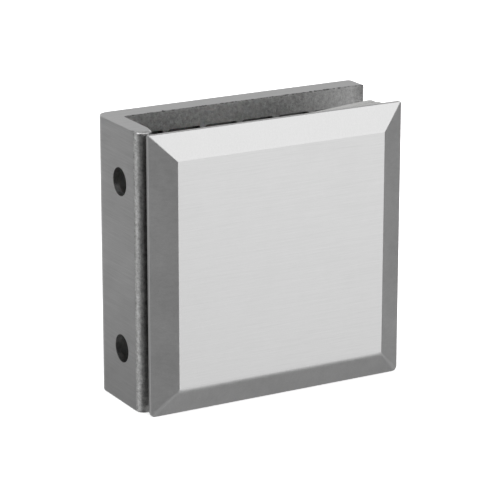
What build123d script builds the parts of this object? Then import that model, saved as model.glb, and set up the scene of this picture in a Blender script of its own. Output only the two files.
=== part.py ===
from build123d import *
import os

# A wall-to-glass bracket. An L-shaped stainless casting is screwed to the wall by its leg, and a
# bevelled front plate is drawn towards it by two countersunk screws, with the glass between them.
# X runs out from the wall, Y from the front plate to the rear, Z up. The origin is on the wall
# face, on the line through the two wall screw holes and midway between them. All sizes are in mm.

# Whole bracket
bracket_height = 50.0
body_length = 51.5

# Body casting: the leg on the wall and the plate behind the glass
leg_depth = 16.0
leg_thickness = 3.4
leg_nose_radius = 1.5
back_thickness = 4.4
leg_corner_radius = 2.5
free_corner_radius = 0.8

# The inner face turns forward a little at its free end
lip_length = 3.0
lip_height = 0.7

# Wall screw holes, countersunk from the glass side of the leg
wall_hole_spacing = 30.0
wall_hole_from_rear = 9.3
wall_hole_diameter = 5.2
wall_countersink_diameter = 9.6
wall_countersink_angle = 90.0

# Shallow cast pockets with ribs between them, on the face behind the glass
pocket_columns = 6
pocket_rows = 6
pocket_depth = 1.5
pocket_corner_radius = 0.5
pocket_rib = 1.1
top_border = 4.3
end_border = 3.7
solid_round_screw = 8.0

# Front plate: a thin rim, a wide bevel and a flat face
front_plate_width = 50.0
front_plate_wall_gap = 0.75
rim_thickness = 0.7
rim_corner_radius = 0.8
bevel_width = 4.6
bevel_depth = 2.0

# How far the front plate can close from rest, and what is then left in front of the leg
closing_travel = 1.6
closed_gap = 0.2

# Threaded bosses on the back of the front plate, and their room to the inner face when closed
boss_diameter = 10.6
boss_end_room = 3.8
boss_edge_break = 0.4
thread_past_boss = 1.5

# Countersunk socket screws that close the bracket
clamp_screw_from_edge = 14.0
screw_diameter = 6.0
screw_head_diameter = 12.0
screw_head_rim = 0.3
screw_tip_chamfer = 0.6
socket_across_flats = 4.0
socket_depth = 2.2
socket_edge_break = 0.2
room_past_screw = 3.3

# Sleeves on the bosses that keep the glass off the metal
sleeve_wall = 1.4
sleeve_end_room = 1.8
sleeve_edge_break = 0.3

# Two soft pads, still lying together behind the front plate, loose on the sleeves and askew
pad_thickness = 1.6
pad_edge_gap = 1.85
pad_leg_gap = 1.9
pad_end_gap = 2.05
pad_corner_radius = 2.0
front_pad_turn = 3.2
front_pad_shift = (0.85, 0.3)
rear_pad_turn = 4.1
rear_pad_shift = (0, 0)

# Clearances
thread_clearance = 0.05
head_clearance = 0.08
shank_hole_clearance = 0.25
sleeve_clearance = 0.1
pad_hole_clearance = 1.7

# Places along Y, from the rear to the front
rear_face = wall_hole_from_rear
inner_face = rear_face - back_thickness
leg_front = rear_face - leg_depth
plate_back = leg_front - closed_gap - closing_travel
boss_end = inner_face - boss_end_room - closing_travel
sleeve_end = inner_face - sleeve_end_room - closing_travel
thread_bottom = plate_back - thread_past_boss

# Places along X
plate_centre = front_plate_wall_gap + front_plate_width / 2
pocket_end = body_length - end_border
pad_leg_side = leg_thickness + pad_leg_gap
pad_free_side = body_length - pad_end_gap

pad_height = bracket_height - 2 * pad_edge_gap

screw_height = bracket_height / 2 - clamp_screw_from_edge
screw_heights = [screw_height, -screw_height]
boss_radius = boss_diameter / 2
screw_radius = screw_diameter / 2
screw_length = rear_face - thread_bottom - room_past_screw
sleeve_inner_radius = boss_radius + sleeve_clearance
sleeve_radius = sleeve_inner_radius + sleeve_wall


def facing_front(x, y, z=0.0):
    """A plane seen from the front: its own x is +X, its own y is +Z and it looks along -Y."""
    return Plane(origin=(x, y, z), x_dir=(1, 0, 0), z_dir=(0, -1, 0))


def facing_rear(x, y, z=0.0):
    """A plane that looks along +Y, towards the rear."""
    return Plane(origin=(x, y, z), x_dir=(-1, 0, 0), z_dir=(0, 1, 0))


def spread(count, length, gap):
    """The width of each of count equal cells with a gap between them, and the step to the next."""
    width = (length - gap * (count - 1)) / count
    return width, width + gap


def screw_section(growth, length):
    """Half section of a countersunk screw, its flat top at height 0, grown all round for a seat."""
    head = screw_head_diameter / 2 + growth
    shank = screw_radius + growth
    neck = screw_head_rim + head - shank
    with BuildSketch(Plane.XZ) as half:
        with BuildLine():
            Polyline(
                (0, 0),
                (head, 0),
                (head, -screw_head_rim),
                (shank, -neck),
                (shank, -length),
                (0, -length),
                close=True,
            )
        make_face()
    return half.sketch


def screw_seat(z):
    """What a clamp screw needs cut from the back plate: a cone for its head and a wider hole."""
    with BuildPart() as seat:
        add(screw_section(head_clearance, back_thickness))
        revolve(axis=Axis.Z)
        shank_hole = screw_radius + shank_hole_clearance
        Cylinder(shank_hole, back_thickness, align=(Align.CENTER, Align.CENTER, Align.MAX))
    return facing_rear(plate_centre, rear_face, z) * seat.part


def pocket_outlines():
    """Rounded rectangles in columns and rows, cut back to round bosses at the clamp screws."""
    length = pocket_end - leg_thickness
    width, column_step = spread(pocket_columns, length, pocket_rib)
    height, row_step = spread(pocket_rows, bracket_height - 2 * top_border, pocket_rib)
    centre = leg_thickness + length / 2
    with BuildSketch() as outlines:
        with GridLocations(column_step, row_step, pocket_columns, pocket_rows):
            RectangleRounded(width, height, pocket_corner_radius)
        with Locations(*[(plate_centre - centre, z) for z in screw_heights]):
            Circle(solid_round_screw, mode=Mode.SUBTRACT)
    return facing_front(centre, inner_face) * outlines.sketch


def make_body():
    """The casting: an L in plan, with its nose, pockets, wall holes and screw seats."""
    with BuildPart() as body:
        with BuildSketch(Plane.XY.offset(-bracket_height / 2)) as plan:
            with BuildLine():
                lip_start = (body_length - lip_length, inner_face)
                lip_end = (body_length, inner_face - lip_height)
                Polyline(
                    lip_end,
                    (body_length, rear_face),
                    (0, rear_face),
                    (0, leg_front),
                    (leg_thickness, leg_front),
                    (leg_thickness, inner_face),
                    lip_start,
                )
                TangentArc(lip_start, lip_end, tangent=(1, 0))
            make_face()
            wall_side, free_side = plan.vertices().group_by(Axis.Y)[-1].sort_by(Axis.X)
            fillet(wall_side, leg_corner_radius)
            fillet(free_side, free_corner_radius)
        extrude(amount=bracket_height)

        # the leg's nose is rounded all round, as it came from the mould
        nose = body.faces().sort_by(Axis.Y)[0]
        fillet(nose.edges(), min(leg_nose_radius, 0.45 * leg_thickness))

        # cast pockets behind the glass
        extrude(pocket_outlines(), amount=-pocket_depth, mode=Mode.SUBTRACT)

        # wall screw holes
        leg_inside = Plane(origin=(leg_thickness, 0, 0), x_dir=(0, 0, 1), z_dir=(1, 0, 0))
        with Locations(leg_inside):
            with GridLocations(wall_hole_spacing, 0, 2, 1):
                CounterSinkHole(
                    wall_hole_diameter / 2,
                    wall_countersink_diameter / 2,
                    leg_thickness,
                    wall_countersink_angle,
                )

        # seats for the clamp screws
        for z in screw_heights:
            add(screw_seat(z), mode=Mode.SUBTRACT)
    return body.part


def make_front_plate():
    """The bevelled plate with its two threaded bosses."""
    with BuildPart() as plate:
        rim_front = plate_back - rim_thickness
        face_front = rim_front - bevel_depth
        face_width = front_plate_width - 2 * bevel_width
        face_height = bracket_height - 2 * bevel_width
        with BuildSketch(facing_front(plate_centre, rim_front)):
            Rectangle(front_plate_width, bracket_height)
        with BuildSketch(facing_front(plate_centre, face_front)):
            Rectangle(face_width, face_height)
        loft()
        with BuildSketch(facing_front(plate_centre, rim_front)):
            Rectangle(front_plate_width, bracket_height)
        extrude(amount=-rim_thickness)

        # the rim's four corners are slightly rounded
        with BuildSketch(facing_front(plate_centre, plate_back)):
            RectangleRounded(front_plate_width, bracket_height, rim_corner_radius)
        extrude(amount=rim_thickness + bevel_depth, mode=Mode.INTERSECT)

        # threaded bosses
        with BuildSketch(facing_rear(plate_centre, plate_back)):
            with Locations(*[(0, z) for z in screw_heights]):
                Circle(boss_radius)
        extrude(amount=boss_end - plate_back)
        boss_tops = plate.faces().sort_by(Axis.Y)[-2:]
        chamfer(boss_tops.edges(), boss_edge_break)
        with BuildSketch(facing_front(plate_centre, boss_end)):
            with Locations(*[(0, z) for z in screw_heights]):
                Circle(screw_radius + thread_clearance)
        extrude(amount=boss_end - thread_bottom, mode=Mode.SUBTRACT)
    return plate.part


def make_pad(front, turn, shift):
    """A soft pad with two wide holes over the sleeves, turned between the screws and shifted."""
    with BuildSketch() as outline:
        with Locations(((pad_leg_side + pad_free_side) / 2 - plate_centre, 0)):
            RectangleRounded(pad_free_side - pad_leg_side, pad_height, pad_corner_radius)
        with Locations(*[(0, z) for z in screw_heights]):
            Circle(sleeve_radius + pad_hole_clearance, mode=Mode.SUBTRACT)
    place = facing_front(plate_centre, front) * Pos(*shift) * Rot(0, 0, turn)
    return extrude(place * outline.sketch, amount=-pad_thickness)


def make_sleeve(z):
    """A plain sleeve over a boss."""
    with BuildPart() as sleeve:
        with BuildSketch(facing_rear(plate_centre, plate_back, z)):
            Circle(sleeve_radius)
            Circle(sleeve_inner_radius, mode=Mode.SUBTRACT)
        extrude(amount=sleeve_end - plate_back)
        rims = sleeve.edges().filter_by(GeomType.CIRCLE).sort_by(SortBy.RADIUS)[-2:]
        chamfer(rims, sleeve_edge_break)
    return sleeve.part


def make_clamp_screw(z):
    """A countersunk screw with a hexagon socket in its head."""
    with BuildPart() as screw:
        add(screw_section(0, screw_length))
        revolve(axis=Axis.Z)
        chamfer(screw.faces().sort_by(Axis.Z)[0].edges(), screw_tip_chamfer)
        with BuildSketch(Plane.XY):
            RegularPolygon(socket_across_flats / 2, 6, major_radius=False)
        extrude(amount=-socket_depth, mode=Mode.SUBTRACT)
        mouth = screw.faces().sort_by(Axis.Z)[-1].inner_wires().edges()
        chamfer(mouth, socket_edge_break)
    return facing_rear(plate_centre, rear_face, z) * screw.part


parts = {
    "body": make_body(),
    "front_plate": make_front_plate(),
    "glass_pad_front": make_pad(plate_back, front_pad_turn, front_pad_shift),
    "glass_pad_rear": make_pad(plate_back + pad_thickness, rear_pad_turn, rear_pad_shift),
}
for name, z in zip(["upper", "lower"], screw_heights):
    parts["glass_sleeve_" + name] = make_sleeve(z)
    parts["clamp_screw_" + name] = make_clamp_screw(z)

os.makedirs("parts", exist_ok=True)
for name, part in parts.items():
    export_step(part, "parts/" + name + ".step")
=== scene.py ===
# %% [markdown]
# # A glass bracket
# A wall bracket for a sheet of glass: an L-shaped stainless casting, a bevelled front plate, and two
# screws that draw them together. The solid model gives every piece its true size and place. It is
# loaded first and never moved, so that each surface made here is laid on it without any fitting.

# %% Load the frame
import math

import bmesh
import bpy
from mathutils import Matrix, Vector, geometry, noise


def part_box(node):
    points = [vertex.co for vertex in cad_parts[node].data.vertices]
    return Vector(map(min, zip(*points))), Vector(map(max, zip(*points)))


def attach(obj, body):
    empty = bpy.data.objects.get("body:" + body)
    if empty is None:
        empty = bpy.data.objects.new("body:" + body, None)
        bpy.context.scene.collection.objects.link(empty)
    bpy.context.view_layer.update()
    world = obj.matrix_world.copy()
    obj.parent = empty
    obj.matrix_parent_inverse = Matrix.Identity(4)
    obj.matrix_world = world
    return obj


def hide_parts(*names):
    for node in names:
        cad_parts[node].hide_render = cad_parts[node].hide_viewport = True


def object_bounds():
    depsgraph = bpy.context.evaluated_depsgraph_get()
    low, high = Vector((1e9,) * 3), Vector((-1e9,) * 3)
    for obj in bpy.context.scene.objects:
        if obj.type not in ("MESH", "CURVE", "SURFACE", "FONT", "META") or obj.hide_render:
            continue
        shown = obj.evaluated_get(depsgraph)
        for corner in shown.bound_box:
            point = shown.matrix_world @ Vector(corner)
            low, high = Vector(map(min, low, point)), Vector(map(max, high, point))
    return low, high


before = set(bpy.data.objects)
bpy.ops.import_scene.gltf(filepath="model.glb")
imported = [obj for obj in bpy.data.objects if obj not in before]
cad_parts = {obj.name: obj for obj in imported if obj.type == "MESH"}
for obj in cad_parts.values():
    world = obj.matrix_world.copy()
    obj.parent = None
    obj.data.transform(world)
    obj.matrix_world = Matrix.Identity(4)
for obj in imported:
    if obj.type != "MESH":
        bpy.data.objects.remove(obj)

cad_low, cad_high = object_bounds()
MM = 0.001
scene = bpy.context.scene
print("pieces in the frame:", ", ".join(sorted(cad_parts)))

# %% [markdown]
# The view. The bracket is seen from its wall side and a little above. The lens is long and stands
# far off, which keeps the edges nearly parallel, as in a catalogue picture. The camera aims at a
# point named from the front plate, so it would follow the plate if its size changed.

# %% Where the camera stands
VIEW_AZIMUTH = -29.47
VIEW_ELEVATION = 16.94
CAMERA_ROLL = 0.06
CAMERA_DISTANCE = 452.89 * MM
FOCAL_LENGTH = 189.18
SENSOR_WIDTH = 36.0
AIM_BESIDE_PLATE = -5.44 * MM
AIM_ABOVE_PLATE = 2.27 * MM
BEVEL_DEPTH = 2.0

plate_low, plate_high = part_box("front_plate")
plate_middle = (plate_low + plate_high) / 2
aim = Vector((
    plate_middle.x + AIM_BESIDE_PLATE,
    plate_low.y + BEVEL_DEPTH * MM,
    plate_middle.z + AIM_ABOVE_PLATE,
))


def direction(azimuth, elevation):
    """The unit vector from the bracket towards a place seen at these angles, in degrees."""
    around, above = math.radians(azimuth), math.radians(elevation)
    level = math.cos(above)
    return Vector((math.sin(around) * level, -math.cos(around) * level, math.sin(above)))


def standing_at(target, towards, distance, roll=0.0):
    """A placement at a distance from the target that looks back at it, leaning by roll degrees."""
    turn = (-towards).to_track_quat("-Z", "Y").to_matrix().to_4x4()
    lean = Matrix.Rotation(math.radians(roll), 4, "Z")
    return Matrix.Translation(target + towards * distance) @ turn @ lean


# %% The camera
NEAREST_SEEN = 0.01

camera_data = bpy.data.cameras.new("camera")
camera_data.lens = FOCAL_LENGTH
camera_data.sensor_width = SENSOR_WIDTH
camera_data.clip_start = NEAREST_SEEN
camera = bpy.data.objects.new("camera", camera_data)
camera.matrix_world = standing_at(
    aim, direction(VIEW_AZIMUTH, VIEW_ELEVATION), CAMERA_DISTANCE, CAMERA_ROLL)
scene.collection.objects.link(camera)
scene.camera = camera
print("camera at", [round(c / MM) for c in camera.location], "mm")

# %% [markdown]
# The floor. It is a plain white table top that glows a little, as a lit one does. It is kept out of
# the reflections, and it casts no shadow, because some of the light panels reach down past it.

# %% The floor
FLOOR_HALF = 4.0
FLOOR_WHITE = 0.9
FLOOR_ROUGHNESS = 0.9
FLOOR_GLOW = 0.5


def plain_material(name, color, roughness, metallic=0.0):
    """A new material, its shader and its node tree, with the values that are the same all over."""
    material = bpy.data.materials.new(name)
    material.use_nodes = True
    shader = material.node_tree.nodes["Principled BSDF"]
    shader.inputs["Base Color"].default_value = (*color, 1)
    shader.inputs["Roughness"].default_value = roughness
    shader.inputs["Metallic"].default_value = metallic
    return material, shader, material.node_tree


floor_mesh = bpy.data.meshes.new("floor")
floor_corners = [
    (x, y, cad_low.z) for x, y in (
        (-FLOOR_HALF, -FLOOR_HALF), (FLOOR_HALF, -FLOOR_HALF),
        (FLOOR_HALF, FLOOR_HALF), (-FLOOR_HALF, FLOOR_HALF))]
floor_mesh.from_pydata(floor_corners, [], [(0, 1, 2, 3)])
floor = bpy.data.objects.new("floor", floor_mesh)
scene.collection.objects.link(floor)
floor_paint, floor_shader, _ = plain_material("floor_white", (FLOOR_WHITE,) * 3, FLOOR_ROUGHNESS)
floor_shader.inputs["Specular IOR Level"].default_value = 0.0
floor_shader.inputs["Emission Color"].default_value = (1, 1, 1, 1)
floor_shader.inputs["Emission Strength"].default_value = FLOOR_GLOW
floor_mesh.materials.append(floor_paint)
floor.visible_glossy = False
floor.visible_shadow = False
print("floor at", round(cad_low.z / MM, 1), "mm")

# %% [markdown]
# The light. Brushed steel shows what stands round it, so the light is a few large soft panels in a
# pale room. Each panel is named by where the bracket sees it. A panel's brightness is that of its
# own surface, so its size can change without changing how it looks in the steel. The picture is
# shown without a film curve, so that what is made pale stays pale.

# %% The room
ROOM_GREY = 0.237

scene.view_settings.view_transform = "Standard"
room = bpy.data.worlds.new("room")
scene.world = room
room.use_nodes = True
room.node_tree.nodes["Background"].inputs["Color"].default_value = (*(ROOM_GREY,) * 3, 1)
print("room grey:", ROOM_GREY)


# %% The light panels
def soft_panel(name, azimuth, elevation, width, height, brightness, distance=1.0):
    """A soft rectangular light that faces the bracket, its sizes in metres."""
    light = bpy.data.lights.new(name, "AREA")
    light.shape = "RECTANGLE"
    light.size = width
    light.size_y = height
    light.energy = brightness * math.pi * width * height
    lamp = bpy.data.objects.new(name, light)
    lamp.matrix_world = standing_at(plate_middle, direction(azimuth, elevation), distance)
    lamp.visible_camera = False
    scene.collection.objects.link(lamp)
    return lamp


PANELS = (
    # name, azimuth and elevation in degrees, width and height in metres, brightness
    ("key", 31, 0, 1.0, 1.6, 0.95),
    ("key_high", 31, 40, 1.0, 0.6, 0.54),
    ("overhead", -75, 64, 0.6, 0.6, 1.3),
    ("under_key", 25, -62, 0.9, 0.7, 0.09),
    ("left_front", -52, -12, 0.7, 1.2, 0.17),
    ("left", -88, -8, 0.8, 1.4, 0.44),
    ("left_rear", -115, -5, 0.7, 1.4, 0.16),
    ("rear", 180, -5, 0.7, 1.3, 0.54),
    ("rear_right", 150, 0, 0.9, 1.5, 0.38),
    ("right_rear", 115, -5, 0.8, 1.4, 0.17),
    ("right", 85, -10, 0.8, 1.2, 0.04),
)
for name, *place_and_size in PANELS:
    soft_panel(name, *place_and_size)
table_light = soft_panel("table_light", 0, 90, 1.6, 1.6, 1.5)
table_light.visible_glossy = False
print("light:", len(PANELS), "panels round the bracket and one for the table")

# %% [markdown]
# Node helpers. A finish is built from a few kinds of nodes again and again: noise that is stretched
# along one axis, sums, changes of range and bumps. Short functions for them keep each material
# readable as a recipe.

# %% Nodes and their inputs
def add_node(tree, kind, **settings):
    """A node of one kind, with its settings and the values of its inputs by name."""
    node = tree.nodes.new(kind)
    for key, value in settings.items():
        if key in node.inputs:
            node.inputs[key].default_value = value
        else:
            setattr(node, key, value)
    return node


def feed(tree, socket, value):
    """Sets a socket to a plain number, or links another socket to it."""
    if isinstance(value, (int, float)):
        socket.default_value = value
    else:
        tree.links.new(value, socket)


# %% Sums, ranges and choices
def math_node(tree, operation, *values):
    """The result of one sum on sockets or plain numbers."""
    node = add_node(tree, "ShaderNodeMath", operation=operation)
    for socket, value in zip(node.inputs, values):
        feed(tree, socket, value)
    return node.outputs["Value"]


def spread_to(tree, value, low, high, least=0.3, most=0.7):
    """A value spread from low to high and held there. Noise is mostly between 0.3 and 0.7."""
    node = add_node(tree, "ShaderNodeMapRange", clamp=True)
    for name, number in zip(("From Min", "From Max", "To Min", "To Max"), (least, most, low, high)):
        node.inputs[name].default_value = number
    tree.links.new(value, node.inputs["Value"])
    return node.outputs["Result"]


def layered(tree, *layers):
    """The sum of several values, each given as (value, low, high) and spread over that range."""
    total = spread_to(tree, *layers[0])
    for layer in layers[1:]:
        total = math_node(tree, "ADD", total, spread_to(tree, *layer))
    return total


def chosen(tree, share, first, second):
    """The first value where the share is 0 and the second where it is 1."""
    node = add_node(tree, "ShaderNodeMix", data_type="FLOAT")
    for socket, value in (("Factor", share), ("A", first), ("B", second)):
        feed(tree, node.inputs[socket], value)
    return node.outputs["Result"]


def axes(tree, vector):
    """The X, Y and Z of a place or of a normal."""
    split = add_node(tree, "ShaderNodeSeparateXYZ")
    tree.links.new(vector, split.inputs["Vector"])
    return split.outputs


# %% Noise, colour and bumps
NOISE_ROUGHNESS = 0.6


def stretched_noise(tree, place, lengths, detail=3.0):
    """Noise with marks of a given length along X, Y and Z, in millimetres."""
    scaled = add_node(tree, "ShaderNodeMapping")
    scaled.inputs["Scale"].default_value = [1 / (length * MM) for length in lengths]
    tree.links.new(place, scaled.inputs["Vector"])
    found = add_node(tree, "ShaderNodeTexNoise", Scale=1.0, Detail=detail, Roughness=NOISE_ROUGHNESS)
    tree.links.new(scaled.outputs["Vector"], found.inputs["Vector"])
    return found.outputs["Fac"]


def bump(tree, height, strength, depth, under=None):
    """Tilts the surface by a height of a given depth in millimetres, over another bump if given."""
    node = add_node(tree, "ShaderNodeBump", Strength=strength, Distance=depth * MM)
    tree.links.new(height, node.inputs["Height"])
    if under is not None:
        tree.links.new(under, node.inputs["Normal"])
    return node.outputs["Normal"]


def surface(tree, shader, grey, rough, normal, warmth=1.0):
    """Links a grey, a roughness and a bump to the shader, with less blue where warmth is under 1."""
    tint = add_node(tree, "ShaderNodeCombineColor")
    tree.links.new(grey, tint.inputs["Red"])
    tree.links.new(grey, tint.inputs["Green"])
    tree.links.new(math_node(tree, "MULTIPLY", grey, warmth), tint.inputs["Blue"])
    tree.links.new(tint.outputs["Color"], shader.inputs["Base Color"])
    tree.links.new(rough, shader.inputs["Roughness"])
    tree.links.new(normal, shader.inputs["Normal"])


# %% [markdown]
# Satin steel. The plate and the casting were linished on a belt, which leaves fine parallel lines.
# Long thin noise makes them, in the colour, the roughness and a slight bump. The belt ran along the
# front face but across each bevel, and along the depth of the leg, so the lines turn by which way
# the surface looks. They are far finer than any mesh could carry. Each finish may also carry painted
# light and shade: a slow change of shade over its height, for how the light falls on it.

# %% Brushing lines
ALONG_X, ALONG_Y, ALONG_Z = range(3)
LINE_LONG = 6.0
LINE_THIN = 0.13
LINE_DETAIL = 4.0
LINE_SHARE = 0.6
STREAK_LONG = 15.0
STREAK_THIN = 0.55
STREAK_SHARE = 0.4
CLOUD = 7.0
CLOUD_SHADE = 0.02
CLOUD_ROUGHNESS = 0.02
GRAIN_ROUGHNESS = 0.05
GRAIN_BUMP, GRAIN_DEPTH = 0.08, 0.02
SIDEWAYS = 0.2


def brushed(tree, place, along):
    """Brushing lines along one axis, fine ones over broader streaks."""
    fine, broad = [LINE_THIN] * 3, [STREAK_THIN] * 3
    fine[along], broad[along] = LINE_LONG, STREAK_LONG
    lines = stretched_noise(tree, place, fine, LINE_DETAIL)
    streaks = stretched_noise(tree, place, broad)
    return math_node(tree, "ADD", math_node(tree, "MULTIPLY", lines, LINE_SHARE),
                     math_node(tree, "MULTIPLY", streaks, STREAK_SHARE))


def looks_along_x(tree, coordinates):
    """One where the surface looks to the wall or away from it, and nought elsewhere."""
    sideways = axes(tree, coordinates.outputs["Normal"])["X"]
    return math_node(tree, "GREATER_THAN", math_node(tree, "ABSOLUTE", sideways), SIDEWAYS)


# %% Satin steel
def satin_steel(name, grey, roughness, lines, along, turned_along=None, painted_shading=None):
    """Brushed steel. Its lines may turn where it looks along X; painted shading scales its grey."""
    material, shader, tree = plain_material(name, (grey,) * 3, roughness, 1.0)
    coordinates = add_node(tree, "ShaderNodeTexCoord")
    place = coordinates.outputs["Object"]
    grain = brushed(tree, place, along)
    if turned_along is not None:
        grain = chosen(tree, looks_along_x(tree, coordinates), grain, brushed(tree, place, turned_along))
    clouds = stretched_noise(tree, place, (CLOUD,) * 3)
    rough = layered(tree, (grain, -GRAIN_ROUGHNESS, GRAIN_ROUGHNESS),
                    (clouds, roughness - CLOUD_ROUGHNESS, roughness + CLOUD_ROUGHNESS))
    shade = layered(tree, (grain, grey - lines, grey + lines), (clouds, -CLOUD_SHADE, CLOUD_SHADE))
    if painted_shading is not None:
        shade = math_node(tree, "MULTIPLY", shade, painted_shading(tree, coordinates))
    surface(tree, shader, shade, rough, bump(tree, grain, GRAIN_BUMP, GRAIN_DEPTH))
    return material


# %% Brushed finishes
# Painted light and shade: the face lighter at its top, the top bevel darker, the leg darker at its foot.
FOOT_SHADE, FOOT_HEIGHT = (0.8, 1.06), (-24.0, 0.0)
FACE_SHADE, FACE_HEIGHT = (0.96, 1.025), (-20.0, 20.0)
BEVEL_SHADE, BEVEL_HEIGHT = (1.0, 0.955), (18.0, 21.0)


def by_height(shades, heights):
    """A slow painted change of shade, for how the light falls, from one height in mm to another."""
    def change(tree, coordinates):
        height = axes(tree, coordinates.outputs["Object"])["Z"]
        return spread_to(tree, height, *shades, *(z * MM for z in heights))
    return change


def painted_foot_shade(tree, coordinates):
    """Painted shade: the foot of the leg's outer face is painted darker, for how the light falls there.
    """
    shade = by_height(FOOT_SHADE, FOOT_HEIGHT)(tree, coordinates)
    return chosen(tree, looks_along_x(tree, coordinates), 1.0, shade)


# The face, the bevels and the casting each take a painted change of shade over their height.
plate_satin = satin_steel(
    "satin_face", 0.62, 0.36, 0.045, ALONG_X, painted_shading=by_height(FACE_SHADE, FACE_HEIGHT))
bevel_satin = satin_steel(
    "satin_bevels", 0.62, 0.34, 0.05, ALONG_Z, ALONG_X, by_height(BEVEL_SHADE, BEVEL_HEIGHT))
body_satin = satin_steel("satin_casting", 0.61, 0.37, 0.075, ALONG_X, ALONG_Y, painted_foot_shade)
print("brushed:", plate_satin.name, bevel_satin.name, body_satin.name)

# %% [markdown]
# Cast steel. Where no tool has touched it, the casting keeps the dull grain of its mould. Two sizes
# of noise make lumps and sand. The pockets get painted shade, read from how deep a place lies, and
# the free end painted light, where more light comes in. The nose has a brighter grey, painted shade
# on its inner side and a painted highlight on its top edge.

# %% Cast grain
LUMP, LUMP_DEPTH = 0.7, 0.12
SAND, SAND_DETAIL = 0.24, 4.0
SAND_BUMP, SAND_DEPTH = 0.5, 0.06
CAST_WARMTH = 0.995
SMOOTHER, ROUGHER = -0.08, 0.1


def cast_steel(name, grey, roughness, mottle=0.2, lumpiness=0.5, painted_shading=None):
    """Steel as it left the mould: grainy and dull. Painted shading may scale its grey from place to
    place.
    """
    material, shader, tree = plain_material(name, (grey,) * 3, roughness, 1.0)
    coordinates = add_node(tree, "ShaderNodeTexCoord")
    place = coordinates.outputs["Object"]
    lumps = stretched_noise(tree, place, (LUMP,) * 3)
    sand = stretched_noise(tree, place, (SAND,) * 3, SAND_DETAIL)
    shade = layered(tree, (lumps, grey * (1 - mottle), grey * (1 + mottle)),
                    (sand, -grey * mottle, grey * mottle))
    if painted_shading is not None:
        shade = math_node(tree, "MULTIPLY", shade, painted_shading(tree, coordinates))
    rough = spread_to(tree, sand, roughness + SMOOTHER, roughness + ROUGHER)
    lumpy = bump(tree, lumps, lumpiness, LUMP_DEPTH)
    surface(tree, shader, shade, rough, bump(tree, sand, SAND_BUMP, SAND_DEPTH, lumpy), CAST_WARMTH)
    return material


# %% Cast finishes
BACK_THICKNESS = 4.4
# Painted light at the free end, and painted shade deep in each pocket.
LIT_END_FROM, LIT_END_GAIN = 4.0, 1.2
PAINTED_POCKET_SHADE, SHADE_DEPTH_FROM, SHADE_DEPTH_FULL = 0.5, 0.1, 0.5
# Painted shade on the nose's inner side:
INSIDE_SHADE, INSIDE_FULL, INSIDE_NONE = 0.48, -0.55, -0.9


def skin_painted_light(tree, coordinates):
    """Painted light at the free end, where more light comes in, and painted shade deep in a pocket."""
    x, y, _ = axes(tree, coordinates.outputs["Object"])
    lit_end = spread_to(tree, x, 1.0, LIT_END_GAIN, cad_high.x - LIT_END_FROM * MM, cad_high.x)
    skin_y = cad_high.y - BACK_THICKNESS * MM
    # Painted shade, darker the deeper a place lies in a pocket.
    scaled = spread_to(tree, y, 1.0, PAINTED_POCKET_SHADE, skin_y + SHADE_DEPTH_FROM * MM, skin_y + SHADE_DEPTH_FULL * MM)
    return math_node(tree, "MULTIPLY", lit_end, scaled)


def painted_nose_shade(tree, coordinates):
    """Painted shade on the side of the nose that turns towards the glass, in the gap by the plate."""
    sideways = axes(tree, coordinates.outputs["Normal"])["X"]
    return spread_to(tree, sideways, 1.0, INSIDE_SHADE, INSIDE_NONE, INSIDE_FULL)


cast_skin = cast_steel("cast_skin", 0.375, 0.55, 0.2, painted_shading=skin_painted_light)
# The nose: a brighter grey than the skin, with painted shade on its inner side.
cast_nose = cast_steel("nose_painted_shade", 0.58, 0.42, 0.24, 0.8, painted_nose_shade)
# Painted highlight: a bright grey on the nose's top edge.
painted_highlight_arris = cast_steel("arris_painted_highlight", 0.85, 0.35, 0.15)
# Painted shade: a dark grey on the upward faces of the bites in the cast edges.
bite_painted_shade = cast_steel("bite_painted_shade", 0.2, 0.6)
# The bores: drilled steel, painted dark for the shade inside the holes.
drilled_shaded = cast_steel("drilled_steel_painted_dark", 0.25, 0.45, lumpiness=0.1)
print("cast:", ", ".join(m.name for m in (cast_skin, cast_nose, painted_highlight_arris, bite_painted_shade, drilled_shaded)))

# %% [markdown]
# Turned steel. The screws and bosses came off a lathe, so their marks run round the axis. The noise
# is read by the distance from the nearest screw axis, not along a straight line.

# %% Turned finish
SCREW_FROM_EDGE = 14.0
RING, RING_DETAIL = 0.16, 2.0
RING_SHADE, RING_BUMP, RING_DEPTH = 0.05, 0.2, 0.03
RING_SMOOTHER, RING_ROUGHER = -0.05, 0.07
STAIN, STAIN_SHADE = 2.5, 0.03
STEEL_WARMTH = 0.97

screw_x = plate_middle.x / MM
screw_z = cad_high.z / MM - SCREW_FROM_EDGE


def turned_steel(name, grey, roughness):
    """Bright steel with fine rings round the screw axes."""
    material, shader, tree = plain_material(name, (grey,) * 3, roughness, 1.0)
    place = add_node(tree, "ShaderNodeTexCoord").outputs["Object"]
    x, y, z = axes(tree, place)
    beside = math_node(tree, "SUBTRACT", x, screw_x * MM)
    height = math_node(tree, "SUBTRACT", math_node(tree, "ABSOLUTE", z), screw_z * MM)
    squares = math_node(tree, "ADD", math_node(tree, "MULTIPLY", beside, beside),
                        math_node(tree, "MULTIPLY", height, height))
    ring_place = add_node(tree, "ShaderNodeCombineXYZ")
    tree.links.new(math_node(tree, "SQRT", squares), ring_place.inputs["X"])
    tree.links.new(y, ring_place.inputs["Y"])
    rings = stretched_noise(tree, ring_place.outputs["Vector"], (RING,) * 3, RING_DETAIL)
    stains = stretched_noise(tree, place, (STAIN,) * 3)
    shade = layered(tree, (rings, grey - RING_SHADE, grey + RING_SHADE),
                    (stains, -STAIN_SHADE, STAIN_SHADE))
    rough = spread_to(tree, rings, roughness + RING_SMOOTHER, roughness + RING_ROUGHER)
    surface(tree, shader, shade, rough, bump(tree, rings, RING_BUMP, RING_DEPTH), STEEL_WARMTH)
    return material


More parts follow.
